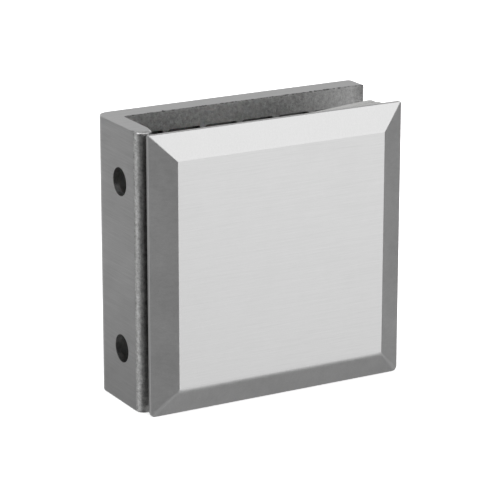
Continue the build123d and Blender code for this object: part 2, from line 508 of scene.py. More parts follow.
screw_steel = turned_steel("screw_steel", 0.58, 0.3)
boss_steel = turned_steel("boss_steel", 0.5, 0.35)
print("screw axes at x", round(screw_x, 2), "and z", round(screw_z, 2), "and", round(-screw_z, 2))

# %% [markdown]
# Rubber and nylon. The pads are cut from a light grey rubber sheet, matt and faintly mottled, with
# the close pimple of the cloth it was cured on. The sleeves are moulded from milky nylon, which lets
# a little light in and has a soft shine.

# %% The rubber of the pads
MOTTLE, MOTTLE_SHADE = 3.0, 0.04
PIMPLE, PIMPLE_SHADE, PIMPLE_DETAIL = 0.28, 0.03, 2.0
PIMPLE_BUMP, PIMPLE_DEPTH = 0.3, 0.03
RUBBER_ROUGHNESS = (0.68, 0.82)
RUBBER_SHINE, RUBBER_SHEEN = 0.35, 0.08
RUBBER_WARMTH = 0.985


def rubber(name, grey):
    """Matt light rubber sheet."""
    material, shader, tree = plain_material(name, (grey,) * 3, sum(RUBBER_ROUGHNESS) / 2)
    shader.inputs["Specular IOR Level"].default_value = RUBBER_SHINE
    shader.inputs["Sheen Weight"].default_value = RUBBER_SHEEN
    place = add_node(tree, "ShaderNodeTexCoord").outputs["Object"]
    mottle = stretched_noise(tree, place, (MOTTLE,) * 3)
    pimple = stretched_noise(tree, place, (PIMPLE,) * 3, PIMPLE_DETAIL)
    shade = layered(tree, (mottle, grey * (1 - MOTTLE_SHADE), grey * (1 + MOTTLE_SHADE)),
                    (pimple, grey * -PIMPLE_SHADE, grey * PIMPLE_SHADE))
    rough = spread_to(tree, mottle, *RUBBER_ROUGHNESS)
    surface(tree, shader, shade, rough, bump(tree, pimple, PIMPLE_BUMP, PIMPLE_DEPTH), RUBBER_WARMTH)
    return material


# %% The nylon of the sleeves
FLOW_ACROSS, FLOW_ALONG, FLOW_SHADE = 2.0, 7.0, 0.03
FLOW_BUMP, FLOW_DEPTH = 0.2, 0.05
SKIN_GRAIN, SKIN_DETAIL = 0.35, 2.0
NYLON_ROUGHNESS = (0.34, 0.46)
GLOW, GLOW_DEPTH = 0.25, 0.4
NYLON_WARMTH = 0.96


def nylon(name, grey):
    """Milky moulded nylon, with marks along Y, the way it flowed in its mould."""
    material, shader, tree = plain_material(name, (grey,) * 3, sum(NYLON_ROUGHNESS) / 2)
    shader.inputs["Subsurface Weight"].default_value = GLOW
    shader.inputs["Subsurface Scale"].default_value = GLOW_DEPTH * MM
    place = add_node(tree, "ShaderNodeTexCoord").outputs["Object"]
    flow = stretched_noise(tree, place, (FLOW_ACROSS, FLOW_ALONG, FLOW_ACROSS))
    skin = stretched_noise(tree, place, (SKIN_GRAIN,) * 3, SKIN_DETAIL)
    shade = spread_to(tree, flow, grey * (1 - FLOW_SHADE), grey * (1 + FLOW_SHADE))
    rough = spread_to(tree, skin, *NYLON_ROUGHNESS)
    surface(tree, shader, shade, rough, bump(tree, flow, FLOW_BUMP, FLOW_DEPTH), NYLON_WARMTH)
    return material


pad_rubber = rubber("pad_rubber", 0.36)
sleeve_nylon = nylon("sleeve_nylon", 0.78)
print("soft:", pad_rubber.name, sleeve_nylon.name)

# %% [markdown]
# Shared making. Every piece is a closed mesh in millimetres that is scaled to metres at the end. A
# stack of rings, each one a closed line with as many points as the last, is joined by four-sided
# faces and closed by a cap at each end. It suits a plate, a screw and a casting alike, because the
# rings can step round an edge and leave it softly broken, as a real one is.

# %% From points to a piece
SAME_PLACE = 1e-7
FLAT_WEIGHT = 80


def finish_mesh(name, points, faces):
    """A mesh object from points in millimetres, with its outside facing out."""
    mesh = bpy.data.meshes.new(name)
    mesh.from_pydata([tuple(c * MM for c in p) for p in points], [], faces)
    mesh.validate()
    shape = bmesh.new()
    shape.from_mesh(mesh)
    bmesh.ops.remove_doubles(shape, verts=shape.verts, dist=SAME_PLACE)
    bmesh.ops.recalc_face_normals(shape, faces=shape.faces)
    shape.to_mesh(mesh)
    shape.free()
    piece = bpy.data.objects.new(name, mesh)
    scene.collection.objects.link(piece)
    return piece


def soften(piece, smooth_angle=40.0):
    """Smooth shading that keeps the edges sharper than an angle, and keeps flats flat."""
    mesh = piece.data
    mesh.polygons.foreach_set("use_smooth", [True] * len(mesh.polygons))
    mesh.set_sharp_from_angle(angle=math.radians(smooth_angle))
    weighted = piece.modifiers.new("flat_faces", "WEIGHTED_NORMAL")
    weighted.keep_sharp = True
    weighted.weight = FLAT_WEIGHT


# %% Stacks of rings
def stack(rings, closed=False):
    """Points and faces of a stack of rings, capped at both ends or closed on itself."""
    count = len(rings[0])
    points = [p for ring in rings for p in ring]
    faces = []
    for level in range(len(rings) - (0 if closed else 1)):
        lower = level * count
        upper = ((level + 1) % len(rings)) * count
        for k in range(count):
            after = (k + 1) % count
            faces.append((lower + k, lower + after, upper + after, upper + k))
    if not closed:
        faces.append(tuple(reversed(range(count))))
        faces.append(tuple(range((len(rings) - 1) * count, len(rings) * count)))
    return points, faces


def turned_shape(name, profile, origin, axis, steps=64, closed=False):
    """A turned shape. A profile point is (distance along the axis, radius), each a number or a
    function of the angle."""
    along = Vector(axis).normalized()
    side = Vector((0, 0, 1)) if abs(along.z) < 0.5 else Vector((1, 0, 0))
    other = along.cross(side)
    rings = []
    for distance, radius in profile:
        ring = []
        for k in range(steps):
            angle = 2 * math.pi * k / steps
            here = distance(angle) if callable(distance) else distance
            reach = radius(angle) if callable(radius) else radius
            ring.append(Vector(origin) + along * here
                        + (side * math.cos(angle) + other * math.sin(angle)) * reach)
        rings.append(ring)
    return finish_mesh(name, *stack(rings, closed))


# %% Joining, cutting, painting and seating
def combine(piece, other, operation):
    """Joins another closed shape to a piece, or takes it away, for good."""
    step = piece.modifiers.new("combine", "BOOLEAN")
    step.operation = operation
    step.solver = "EXACT"
    step.object = other
    bpy.context.view_layer.update()
    graph = bpy.context.evaluated_depsgraph_get()
    mesh = bpy.data.meshes.new_from_object(piece.evaluated_get(graph))
    piece.modifiers.clear()
    piece.data = mesh
    bpy.data.objects.remove(other)


def paint(piece, materials, choose):
    """Gives each face the material that choose returns for its middle and normal, in millimetres."""
    mesh = piece.data
    mesh.materials.clear()
    for material in materials:
        mesh.materials.append(material)
    for face in mesh.polygons:
        face.material_index = materials.index(choose(face.center / MM, face.normal))


def dress(piece, body, slot_name, *replaced):
    """Seats a finished piece: the body it rides on and the nodes it stands for; slot_name is not used.
    """
    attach(piece, body)
    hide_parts(*replaced)
    print(piece.name, "has", len(piece.data.polygons), "faces")


# %% [markdown]
# The front plate. It is a solid square of stainless steel, milled with a wide bevel on all four
# sides and then brushed. It is made as rings that follow its section, from the rim at the back,
# over the bevel, to the flat face. The belt has left most edges crisp, but the lower one, where the
# face meets the bevel, is rounder, so each ring blends a crisp section with a softer one. The lower
# corners and mitres are rounder too.

# %% Measures of the plate
BEVEL_WIDTH = 4.6
RIM_THICKNESS = 0.7
UPPER_CORNER, UPPER_MITRE = 0.4, 0.05
LOWER_CORNER, LOWER_MITRE = 0.9, 0.45
EDGE_BREAK = 0.11
CRISP_EDGE = 0.2
SOFT_LOWER_EDGE = 3.5
SECTION_REACH = 2.0
EDGE_STEPS = 5
CORNER_STEPS = 6

half_width = (plate_high.x - plate_low.x) / 2 / MM
half_height = (plate_high.z - plate_low.z) / 2 / MM
face_y = plate_low.y / MM
rim_y = face_y + BEVEL_DEPTH
plate_back_y = rim_y + RIM_THICKNESS
print("plate:", round(2 * half_width, 2), "by", round(2 * half_height, 2), "mm")


# %% The section of the plate
def rounded_corner(before, corner, after, radius):
    """Points round the corner of a line, at a radius that fits it."""
    corner = Vector(corner)
    inward = (Vector(before) - corner).normalized()
    outward = (Vector(after) - corner).normalized()
    half_turn = inward.angle(outward) / 2
    reach = radius / math.tan(half_turn)
    centre = corner + (inward + outward).normalized() * radius / math.sin(half_turn)
    start = corner + inward * reach - centre
    end = corner + outward * reach - centre
    swing = start.angle(end)
    found = []
    for k in range(EDGE_STEPS + 1):
        share = k / EDGE_STEPS
        found.append(centre + (start * math.sin(swing * (1 - share)) + end * math.sin(swing * share))
                     / math.sin(swing))
    return found


def plate_section(face_edge):
    """The plate's section as (inset, y) points, from the back round the rim to the flat face."""
    corners = [
        (SECTION_REACH, plate_back_y),
        (0.0, plate_back_y),
        (0.0, rim_y),
        (BEVEL_WIDTH, face_y),
        (BEVEL_WIDTH + SECTION_REACH, face_y),
    ]
    found = []
    for place, radius in enumerate((EDGE_BREAK, EDGE_BREAK, face_edge)):
        found += rounded_corner(*corners[place:place + 3], radius)
    return found


# %% Rings of the plate
def round_square():
    """Each point of a ring as its quarter's signs and its angle in the corner's arc."""
    for quarter, (sx, sz) in enumerate(((1, 1), (-1, 1), (-1, -1), (1, -1))):
        for k in range(CORNER_STEPS + 1):
            yield sx, sz, math.radians(90 * (quarter + k / CORNER_STEPS))


plate_rings = []
for crisp, soft in zip(plate_section(CRISP_EDGE), plate_section(SOFT_LOWER_EDGE)):
    ring = []
    for sx, sz, angle in round_square():
        inset, y = crisp.lerp(soft, max(0.0, -math.sin(angle)) ** 2)
        corner, mitre = (UPPER_CORNER, UPPER_MITRE) if sz > 0 else (LOWER_CORNER, LOWER_MITRE)
        radius = corner + (mitre - corner) * min(1.0, inset / corner)
        ring.append((
            plate_middle.x / MM + sx * (half_width - inset - radius) + radius * math.cos(angle),
            y,
            plate_middle.z / MM + sz * (half_height - inset - radius) + radius * math.sin(angle)))
    plate_rings.append(ring)
front_plate = finish_mesh("bevelled_plate", *stack(plate_rings))
print("plate:", len(plate_rings), "rings of", len(plate_rings[0]), "points")

# %% [markdown]
# Its bosses. Two round bosses stand on the back of the plate, and the screws go into them. They are
# turned shapes that are joined to the plate and then drilled, so the piece stays one closed solid.

# %% Bosses on the plate
BOSS_RADIUS = 5.3
BOSS_EDGE = 0.4
THREAD_HOLE_RADIUS = 3.05
THREAD_PAST_BOSS = 1.5
ROOT_DEPTH = 0.4

boss_end_y = plate_high.y / MM
boss_root_y = plate_back_y - ROOT_DEPTH
boss_length = boss_end_y - boss_root_y
boss_profile = [
    (0.0, BOSS_RADIUS),
    (boss_length - BOSS_EDGE, BOSS_RADIUS),
    (boss_length, BOSS_RADIUS - BOSS_EDGE),
]
hole_depth = boss_end_y - plate_back_y + THREAD_PAST_BOSS
hole_profile = [
    (-BOSS_EDGE, THREAD_HOLE_RADIUS + 2 * BOSS_EDGE),
    (BOSS_EDGE, THREAD_HOLE_RADIUS),
    (hole_depth, THREAD_HOLE_RADIUS),
]
for side in (1, -1):
    boss = turned_shape("boss", boss_profile, (screw_x, boss_root_y, side * screw_z), (0, 1, 0))
    combine(front_plate, boss, "UNION")
    hole = turned_shape("hole", hole_profile, (screw_x, boss_end_y, side * screw_z), (0, -1, 0))
    combine(front_plate, hole, "DIFFERENCE")
print("plate with its bosses:", len(front_plate.data.polygons), "faces")

# %% Finishes of the plate
OFF_THE_BACK = 0.01
SLOPE_FROM = 0.1


def plate_finish(middle, normal):
    """The bevels were brushed apart from the flats, and the bosses are turned."""
    if middle.y > plate_back_y + OFF_THE_BACK:
        return boss_steel
    sloping = SLOPE_FROM < abs(normal.x) or SLOPE_FROM < abs(normal.z)
    return bevel_satin if sloping and normal.y < 0 else plate_satin


paint(front_plate, [plate_satin, bevel_satin, boss_steel], plate_finish)
soften(front_plate)
dress(front_plate, "front", "satin_stainless", "front_plate")

# %% [markdown]
# The body. It is one casting, an L seen from above: a leg that goes on the wall and a plate that
# stands behind the glass. Only its outer faces were ground and brushed. The rest is left as it came
# from the mould, with a round nose on the leg and rows of shallow pockets that save metal.
# It is a stack of rings too. Each ring is the outline of the L at one height, and its points on the
# inner side also move in and out, for the pockets and for the small waves of a cast skin.

# %% The outline of the casting
LEG_THICKNESS = 3.4
NOSE_RADIUS = 1.5
INNER_CORNER = 0.5
LEG_CORNER = 2.5
FREE_CORNER = 0.8
LIP_LENGTH = 3.0
LIP_HEIGHT = 0.7
LIP_CORNER = 0.3
ARC_STEPS = 8

body_low, body_high = (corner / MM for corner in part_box("body"))
rear_y = body_high.y
inner_y = rear_y - BACK_THICKNESS
nose_y = body_low.y
free_x = body_high.x
top_z = body_high.z
print("casting:", [round(c, 2) for c in body_high - body_low], "mm")


# %% Lines and spacings
STRAIGHT = 1e-6


def path_round(corners):
    """Points and outward normals of a closed line that runs counterclockwise through its
    (x, y, radius) corners."""
    found = []
    for k, (x, y, radius) in enumerate(corners):
        here = Vector((x, y))
        before = Vector(corners[k - 1][:2])
        after = Vector(corners[(k + 1) % len(corners)][:2])
        came, goes = (here - before).normalized(), (after - here).normalized()
        out_before, out_after = Vector((came.y, -came.x)), Vector((goes.y, -goes.x))
        turn = -out_before.angle_signed(out_after, 0.0)
        if radius == 0 or abs(turn) < STRAIGHT:
            found.append((here, (out_before + out_after).normalized()))
            continue
        side = 1 if turn > 0 else -1
        begin = here - came * radius * math.tan(abs(turn) / 2)
        centre = begin - out_before * radius * side
        for step in range(ARC_STEPS + 1):
            normal = Matrix.Rotation(turn * step / ARC_STEPS, 2) @ out_before
            found.append((centre + normal * radius * side, normal))
    return found


def evenly(start, end, spacing):
    """Numbers from start to end, both left out, no further apart than the spacing."""
    count = max(1, math.ceil(abs(end - start) / spacing))
    return [start + (end - start) * k / count for k in range(1, count)]


def merged(numbers, least):
    """Sorted numbers, with those dropped that are nearer than least to the one before."""
    kept = []
    for number in sorted(numbers):
        if not kept or number - kept[-1] >= least:
            kept.append(number)
    return kept


# %% [markdown]
# The pockets. Thirty-six of them in six rows and six columns, each a rounded rectangle with slightly
# sloping walls, so that the casting leaves its mould. Round each clamp screw the metal keeps its
# full thickness, as a land with a gentler slope. How deep the metal is cut at a place comes from its
# distance to the pocket's edge. The mould was not quite square, so the rows drop a little towards
# the free end.

# %% Measures of the pockets
POCKETS = 6
POCKET_DEPTH = 1.5
POCKET_CORNER = 0.5
POCKET_RIB = 1.1
TOP_BORDER = 3.55
LEG_BORDER = 1.35
END_BORDER = 3.9
SOLID_ROUND_SCREW = 8.0
WALL_SLOPE = 0.16
LAND_SLOPE = 0.8
FIELD_DROP = 0.22
TRUE_BAND = 1.5
WALL_POINTS = (-1.6, -1.0, -0.5, 0.0, 0.5, 1.0, 1.6)

lip_start = free_x - LIP_LENGTH
pocket_start = LEG_THICKNESS + LEG_BORDER
pocket_field_x = free_x - END_BORDER - pocket_start
pocket_field_z = 2 * (top_z - TOP_BORDER)
pocket_width = (pocket_field_x - POCKET_RIB * (POCKETS - 1)) / POCKETS
pocket_height = (pocket_field_z - POCKET_RIB * (POCKETS - 1)) / POCKETS
print("pockets:", round(pocket_width, 2), "by", round(pocket_height, 2), "mm")


# %% How deep the inner face is
def from_cell_middle(place, start, size):
    """How far a place is from the middle of the nearest pocket along one axis."""
    step = size + POCKET_RIB
    index = min(POCKETS - 1, max(0, math.floor((place - start + POCKET_RIB / 2) / step)))
    return abs(place - start - index * step - size / 2)


def eased(share):
    """A smooth step from 0 to 1."""
    share = min(1.0, max(0.0, share))
    return share * share * (3 - 2 * share)


def pocket_at(x, z):
    """How deep the inner face is cut at a place, in millimetres."""
    across = from_cell_middle(x, pocket_start, pocket_width) - pocket_width / 2 + POCKET_CORNER
    upward = from_cell_middle(z, -pocket_field_z / 2, pocket_height) - pocket_height / 2 + POCKET_CORNER
    outside = math.hypot(max(across, 0), max(upward, 0)) + min(max(across, upward), 0) - POCKET_CORNER
    to_screw = math.hypot(x - screw_x, abs(z) - screw_z)
    outside = max(outside, (SOLID_ROUND_SCREW - to_screw) * WALL_SLOPE / LAND_SLOPE)
    return POCKET_DEPTH * eased((WALL_SLOPE - outside) / (2 * WALL_SLOPE))


def field_drop(x, z):
    """How far the pockets lie below even rows at a place, in millimetres."""
    along = min(1.0, max(0.0, (x - pocket_start) / pocket_field_x))
    before_lip = 1 - eased((x - lip_start) / LIP_LENGTH)
    return FIELD_DROP * along * before_lip * eased(top_z - TRUE_BAND - abs(z))


def wall_lines(start, size):
    """Places along one axis where the pocket walls need points, a few on each side of a wall."""
    found = []
    for k in range(POCKETS):
        low = start + k * (size + POCKET_RIB)
        for wall in (low, low + size):
            found += [wall + offset * WALL_SLOPE for offset in WALL_POINTS]
    return found


# %% [markdown]
# Its skin. Two sizes of wave make the cast surface: long ones a few millimetres apart, and short
# ones like coarse sand. The ground faces have none. The sharp line between a ground face and a cast
# one is ragged, because the grinding stops wherever the cast surface happens to be.

# %% The cast skin
LONG_WAVE, LONG_RATE = 0.045, 0.45
SAND_WAVE, SAND_RATE = 0.05, 1.7
OTHER_PLACE = Vector((7, 3, 5))


def cast_wave(x, y, z):
    """How far the cast skin stands out at a place, in millimetres."""
    place = Vector((x, y, z))
    long_wave = LONG_WAVE * noise.noise(place * LONG_RATE)
    return long_wave + SAND_WAVE * noise.noise(place * SAND_RATE + OTHER_PLACE)


# %% Points round the casting
FINE_X, LEAST_X, CLEAR_OF_ENDS = 0.3, 0.06, 0.05
FINE_Z, LEAST_Z = 0.5, 0.07
FLANK_REACH = 4.0

lip_radius = (LIP_LENGTH ** 2 + LIP_HEIGHT ** 2) / (2 * LIP_HEIGHT)
inner_start = LEG_THICKNESS + INNER_CORNER
field_lines = merged(
    wall_lines(pocket_start, pocket_width) + evenly(inner_start, lip_start, FINE_X), LEAST_X)
field_lines = [x for x in field_lines if inner_start + CLEAR_OF_ENDS < x < lip_start - CLEAR_OF_ENDS]
lip_line = [
    (lip_start + d, inner_y - lip_radius + math.sqrt(lip_radius ** 2 - d * d), 0)
    for d in [0.0] + evenly(0.0, LIP_LENGTH, FINE_X)]
leg_lines = evenly(nose_y + NOSE_RADIUS, inner_y - INNER_CORNER, FINE_X)
flank_lines = reversed(evenly(nose_y + NOSE_RADIUS, nose_y + FLANK_REACH, FINE_X))
outline = path_round(
    [(LEG_THICKNESS, nose_y, NOSE_RADIUS)]
    + [(LEG_THICKNESS, y, 0) for y in leg_lines]
    + [(LEG_THICKNESS, inner_y, INNER_CORNER)]
    + [(x, inner_y, 0) for x in field_lines]
    + lip_line
    + [(free_x, inner_y - LIP_HEIGHT, LIP_CORNER)]
    + [(free_x, rear_y, FREE_CORNER)]
    + [(0.0, rear_y, LEG_CORNER)]
    + [(0.0, y, 0) for y in flank_lines]
    + [(0.0, nose_y, NOSE_RADIUS)]
)
heights = merged(
    wall_lines(-pocket_field_z / 2, pocket_height)
    + evenly(-top_z + TRUE_BAND, top_z - TRUE_BAND, FINE_Z), LEAST_Z)
print("outline:", len(outline), "points, at", len(heights), "heights")

# %% [markdown]
# Its edges. At each end of the casting a few rings step round the edge and leave it broken. A ground
# edge gets a fine even break. A cast one stays sharp but for shallow bites that wander along it. The
# nose is rounder on top, where the mould was.

# %% Which places are cast
NOSE_FADE = 1.1
CAST_PAST_INNER = 0.6
OUTWARD = 0.7
HAIR = 0.01


def nose_share(y):
    """One on the leg's round nose, fading to nought along its sides."""
    return 1 - eased((y - nose_y - NOSE_RADIUS) / NOSE_FADE)


def is_cast(x, y, normal):
    """Whether a place of the outline is left as cast: the nose and all that looks at the glass."""
    if y < nose_y + NOSE_RADIUS:
        return True
    return LEG_THICKNESS - HAIR <= x and y <= inner_y + CAST_PAST_INNER and normal.x < OUTWARD


# %% Levels and points near an edge
EDGE_LEVELS = 6
BORDER_LEVELS = 4
UNDER_LIP = 0.1
FORWARD = -0.5


def edge_steps(width, depth):
    """Depth below the end face and inset of each level round its edge, down to the true outline."""
    found = []
    for k in range(EDGE_LEVELS + 1):
        angle = math.radians(90 * k / EDGE_LEVELS)
        found.append((depth * (1 - math.cos(angle)), width * (1 - math.sin(angle))))
    for k in range(1, BORDER_LEVELS + 1):
        found.append((depth + (TRUE_BAND - depth) * k / BORDER_LEVELS, 0.0))
    return found


def placed(point, normal, z, inset):
    """One point of a ring, pushed by the pockets and the cast skin."""
    x, y = point
    if not is_cast(x, y, normal):
        return (x - normal.x * inset, y - normal.y * inset, z)
    shift = cast_wave(x, y, z) - inset
    if x > LEG_THICKNESS and y > inner_y - LIP_HEIGHT - UNDER_LIP and normal.y < FORWARD:
        shift -= pocket_at(x, z)
        z -= field_drop(x, z)
    x = min(max(x + normal.x * shift, 0.0), free_x)
    y = min(max(y + normal.y * shift, nose_y), rear_y)
    return (x, y, z)


# %% Rings of the casting
BROKEN_EDGE = 0.12
LEG_EDGE = 0.3
CAST_EDGE = 0.03
RAGGED_EDGE = 1.5
BITE_DEPTH, BITE_RATE = 0.2, 2.2
NOSE_EDGES = {1: 0.6, -1: 0.3}
WALLWARD = -0.9


def edges_at(side):
    """The edge steps of each point of the outline, at the top (1) or at the foot (-1)."""
    found = []
    for point, normal in outline:
        edge = LEG_EDGE if normal.x < WALLWARD else BROKEN_EDGE
        if is_cast(point.x, point.y, normal):
            bite = noise.noise(Vector((point.x, point.y, side)) * BITE_RATE)
            edge = CAST_EDGE + RAGGED_EDGE * max(0.0, bite)
        on_nose = nose_share(point.y)
        edge += (NOSE_EDGES[side] - edge) * on_nose
        found.append(edge_steps(edge, min(edge, max(BITE_DEPTH, edge * on_nose))))
    return found


def end_rings(side):
    """The rings at one end of the casting, from its end face inwards."""
    edges = edges_at(side)
    return [
        [placed(point, normal, side * (top_z - steps[level][0]), steps[level][1])
         for (point, normal), steps in zip(outline, edges)]
        for level in range(EDGE_LEVELS + BORDER_LEVELS + 1)]


casting_rings = end_rings(-1)
for z in heights:
    casting_rings.append([placed(point, normal, z, 0.0) for point, normal in outline])
casting_rings += reversed(end_rings(1))
body = finish_mesh("bracket_body", *stack(casting_rings))
print("casting:", len(casting_rings), "rings of", len(outline), "points")

# %% [markdown]
# Its holes. The two wall holes go through the leg and are sunk from the glass side. The two clamp
# screws sit in cones in the rear face. Each is cut with a turned shape, whose ends flare a little,
# so that every hole gets a broken edge in the same cut.

# %% Cut the holes
WALL_HOLE_RADIUS = 2.45
WALL_SINK_RADIUS = 4.8
HOLE_BREAK = 0.06
SEAT_RADIUS = 6.08
SEAT_RIM = 0.3
SHANK_HOLE_RADIUS = 3.25
WALL_HOLE_Z = 15.0
PAST_FACE = 0.5

wall_hole = [
    (-PAST_FACE, WALL_HOLE_RADIUS + HOLE_BREAK),
    (0.0, WALL_HOLE_RADIUS + HOLE_BREAK),
    (HOLE_BREAK, WALL_HOLE_RADIUS),
    (LEG_THICKNESS - (WALL_SINK_RADIUS - WALL_HOLE_RADIUS), WALL_HOLE_RADIUS),
    (LEG_THICKNESS + PAST_FACE, WALL_SINK_RADIUS + PAST_FACE),
]
seat_depth = SEAT_RIM + SEAT_RADIUS - SHANK_HOLE_RADIUS
screw_seat = [
    (-PAST_FACE, SEAT_RADIUS + HOLE_BREAK),
    (0.0, SEAT_RADIUS + HOLE_BREAK),
    (HOLE_BREAK, SEAT_RADIUS),
    (SEAT_RIM, SEAT_RADIUS),
    (seat_depth, SHANK_HOLE_RADIUS),
    (BACK_THICKNESS + PAST_FACE, SHANK_HOLE_RADIUS),
]
for side in (1, -1):
    combine(body, turned_shape("hole", wall_hole, (0, 0, side * WALL_HOLE_Z), (1, 0, 0)), "DIFFERENCE")
    combine(body, turned_shape("seat", screw_seat, (screw_x, rear_y, side * screw_z), (0, -1, 0)),
            "DIFFERENCE")
print("casting with its holes:", len(body.data.polygons), "faces")

# %% [markdown]
# Its finishes. Each face of the casting gets its finish by where it is and which way it looks: the
# ground faces, the inside of a hole painted dark for its shade, the nose and its top edge with a
# painted highlight, the bitten edges painted dark for shade, and the rest of the cast skin. The
# pockets need none of their own, because the skin paints their shade from how deep they lie.

# %% Finishes of the casting
AT_END_FACE = 0.02
END_TILT = 0.9
HOLE_TILT, SEAT_TILT, SEAT_AHEAD = 0.8, 0.95, 0.1
ARRIS_TILT, BITE_TILT = 0.45, 0.2
LEG_BAND, FREE_BAND, POCKET_BAND = 0.2, 0.15, 0.2


def body_finish(middle, normal):
    """The finish of one face of the casting."""
    from_wall_hole = math.hypot(middle.y, abs(middle.z) - WALL_HOLE_Z)
    from_screw = math.hypot(middle.x - screw_x, abs(middle.z) - screw_z)
    if abs(normal.z) > END_TILT and abs(middle.z) > top_z - AT_END_FACE:
        return body_satin
    # Inside the holes: drilled steel painted dark for their shade.
    if middle.x < LEG_THICKNESS and from_wall_hole < WALL_SINK_RADIUS and abs(normal.x) < HOLE_TILT:
        return drilled_shaded
    if from_screw < SEAT_RADIUS and middle.y > inner_y - SEAT_AHEAD and abs(normal.y) < SEAT_TILT:
        return drilled_shaded
    if middle.y < nose_y + NOSE_RADIUS:
        # The nose's top edge takes the painted highlight.
        on_arris = abs(middle.z) > top_z - NOSE_EDGES[1] and ARRIS_TILT < abs(normal.z)
        return painted_highlight_arris if on_arris else cast_nose
    if middle.x < LEG_THICKNESS - LEG_BAND or middle.x > free_x - FREE_BAND:
        return body_satin
    if middle.y > inner_y + POCKET_DEPTH + POCKET_BAND:
        return body_satin
    # The upward faces of the bites take painted shade.
    bitten = abs(middle.z) > top_z - BITE_DEPTH and abs(normal.z) > BITE_TILT
    return bite_painted_shade if bitten else cast_skin


paint(body, [body_satin, cast_skin, cast_nose, painted_highlight_arris, bite_painted_shade, drilled_shaded], body_finish)
soften(body, smooth_angle=35.0)
dress(body, "fixed_body", "satin_stainless", "body")

# %% [markdown]
# The clamp screws. Each is one closed turned shape, from the bottom of its hexagon socket, over the
# flat head and down the cone, to a real thread. Only the radius changes round the axis: to six
# sides in the socket, and along a helix in the thread, one turn for each millimetre.

# %% Measures of a screw
HEAD_RADIUS = 6.0
HEAD_RIM = 0.3
HEAD_EDGE = 0.12
SHANK_RADIUS = 3.0
SOCKET_HALF_FLATS = 2.0
SOCKET_DEPTH = 2.2
SOCKET_POINT, POINT_RADIUS = 0.6, 0.05
SOCKET_MOUTH = 2.45
PITCH = 1.0
THREAD_DEPTH = 0.54
ROOT_SHARE, FLANK_SHARE = 0.15, 0.62
RINGS_PER_PITCH = 12
RUN_OUT = 0.8
TIP_CHAMFER = 0.6
SCREW_STEPS = 60
ARC_MIDDLE = 0.3         # how far in the middle of a rounded edge lies, as a share of its radius

screw_length = rear_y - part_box("clamp_screw_upper")[0].y / MM
cone_end = HEAD_RIM + HEAD_RADIUS - SHANK_RADIUS
print("screws:", round(screw_length, 2), "mm long")


# %% The shape of a screw
def hexagon(angle):
    """The distance from the axis to the socket's wall."""
    from_flat = (angle % (math.pi / 3)) - math.pi / 6
    return SOCKET_HALF_FLATS / math.cos(from_flat)


def thread_radius(depth):
    """The thread's radius round the axis at a depth: flat crests and roots, sloping flanks."""
    fade = eased((depth - cone_end) / RUN_OUT)
    chamfer = max(0.0, depth - screw_length + TIP_CHAMFER)

    def radius(angle):
        phase = (depth / PITCH - angle / (2 * math.pi)) % 1.0
        crest = min(1.0, max(0.0, (abs(phase - 0.5) * 2 - ROOT_SHARE) / FLANK_SHARE))
        return SHANK_RADIUS - max(THREAD_DEPTH * (1 - crest) * fade, chamfer)
    return radius


screw_profile = [
    (SOCKET_DEPTH + SOCKET_POINT, POINT_RADIUS),
    (SOCKET_DEPTH, SOCKET_HALF_FLATS * 0.98),
    (SOCKET_DEPTH, hexagon),
    (lambda angle: SOCKET_MOUTH - hexagon(angle), hexagon),
    (0.0, SOCKET_MOUTH),
    (0.0, HEAD_RADIUS - HEAD_EDGE),
    (HEAD_EDGE * ARC_MIDDLE, HEAD_RADIUS - HEAD_EDGE * ARC_MIDDLE),
    (HEAD_EDGE, HEAD_RADIUS),
    (HEAD_RIM, HEAD_RADIUS),
    (cone_end, SHANK_RADIUS),
]
thread_steps = math.floor((screw_length - cone_end) * RINGS_PER_PITCH / PITCH)
for step in range(1, thread_steps + 1):
    depth = cone_end + (screw_length - cone_end) * step / thread_steps
    screw_profile.append((depth, thread_radius(depth)))

# %% Both screws
for name, side in (("upper", 1), ("lower", -1)):
    screw = turned_shape(
        "hex_socket_screw_" + name, screw_profile,
        (screw_x, rear_y, side * screw_z), (0, -1, 0), SCREW_STEPS)
    screw.data.materials.append(screw_steel)
    soften(screw, smooth_angle=32.0)
    dress(screw, name + "_screw", "screw_steel", "clamp_screw_" + name)

# %% [markdown]
# The sleeves. A nylon tube goes over each boss, so that the glass never touches metal. A tube is a
# stack of rings that closes on itself: up the outside, over the end and down the bore. Its ends are
# rounded, as moulded parts are, because a sharp edge won't fill.

# %% Both sleeves
SLEEVE_RADIUS = 6.8
SLEEVE_BORE = 5.4
SLEEVE_EDGE = 0.3
BORE_EDGE = 0.12

sleeve_low, sleeve_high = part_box("glass_sleeve_upper")
sleeve_length = (sleeve_high.y - sleeve_low.y) / MM


def round_edge(place, radius, inward, outward, size):
    """Points round one edge of a tube: inward is along its length, outward across its wall."""
    found = []
    for k in range(EDGE_STEPS + 1):
        angle = math.radians(90 * k / EDGE_STEPS)
        found.append((place + inward * size * (1 - math.sin(angle)),
                      radius - outward * size * (1 - math.cos(angle))))
    return found


sleeve_profile = (
    round_edge(0.0, SLEEVE_RADIUS, 1, 1, SLEEVE_EDGE)[::-1]
    + round_edge(sleeve_length, SLEEVE_RADIUS, -1, 1, SLEEVE_EDGE)
    + round_edge(sleeve_length, SLEEVE_BORE, -1, -1, BORE_EDGE)[::-1]
    + round_edge(0.0, SLEEVE_BORE, 1, -1, BORE_EDGE)
)
for name, side in (("upper", 1), ("lower", -1)):
    sleeve = turned_shape(
        "nylon_sleeve_" + name, sleeve_profile,
        (screw_x, sleeve_low.y / MM, side * screw_z), (0, 1, 0), closed=True)
    sleeve.data.materials.append(sleeve_nylon)
    soften(sleeve)
    dress(sleeve, "front", "nylon", "glass_sleeve_" + name)

